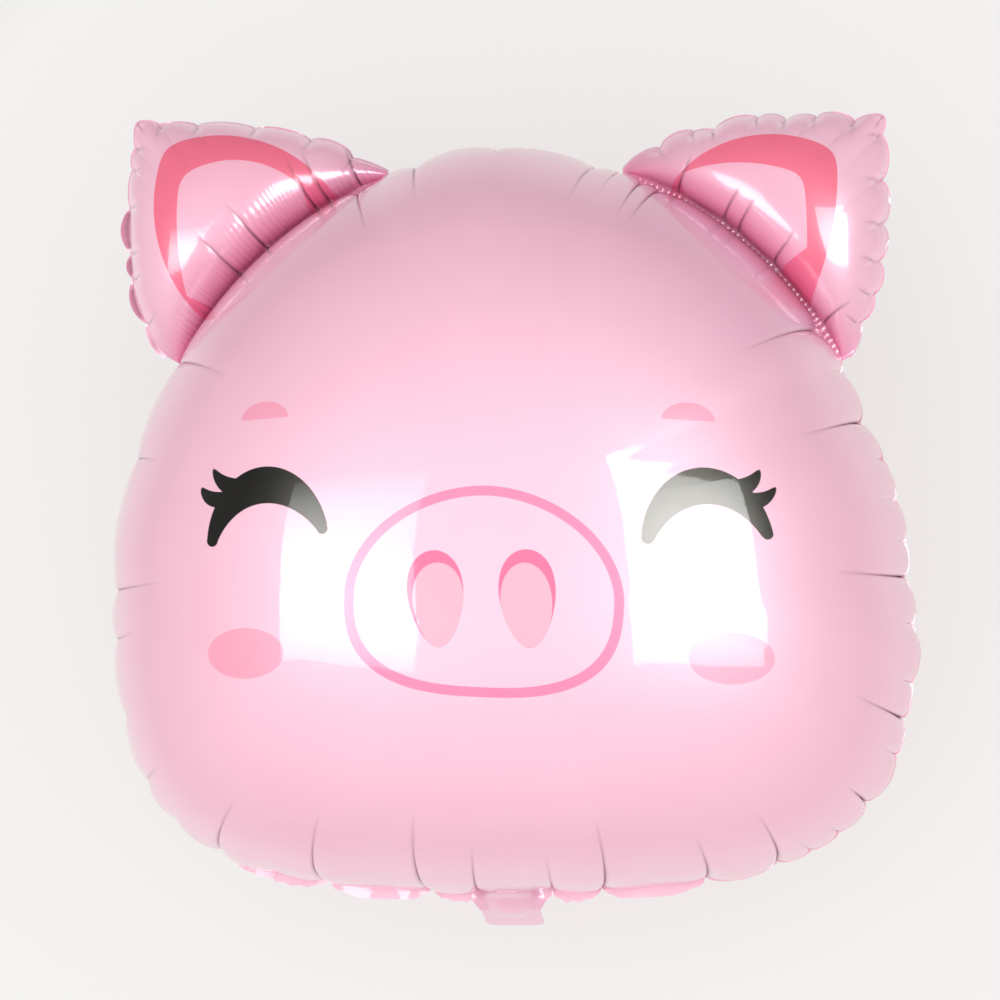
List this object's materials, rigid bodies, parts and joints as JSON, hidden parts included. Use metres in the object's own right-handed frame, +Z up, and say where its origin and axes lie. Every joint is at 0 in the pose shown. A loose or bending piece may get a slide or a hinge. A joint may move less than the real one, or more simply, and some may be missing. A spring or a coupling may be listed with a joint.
{
  "type": "pig head balloon",
  "caption": "Inflated foil balloon in the shape of a pig's head with pointed ears, a pleated seam and a filling neck, lying face up; a party decoration.",
  "frame": {"origin": "centre of the small flat spot on the back that the balloon lies on", "axes": "+Z up, the way the face looks; +Y towards the crown; +X towards the ear on the viewer's right"},
  "size_m": [0.5668, 0.5706, 0.3198],
  "materials": {
    "front_film": "metallised film with a pearly pink print",
    "back_film": "metallised film, plain pink"
  },
  "bodies": {
    "root": {"front_foil": "front_film", "back_foil": "back_film"}
  },
  "joints": []
}
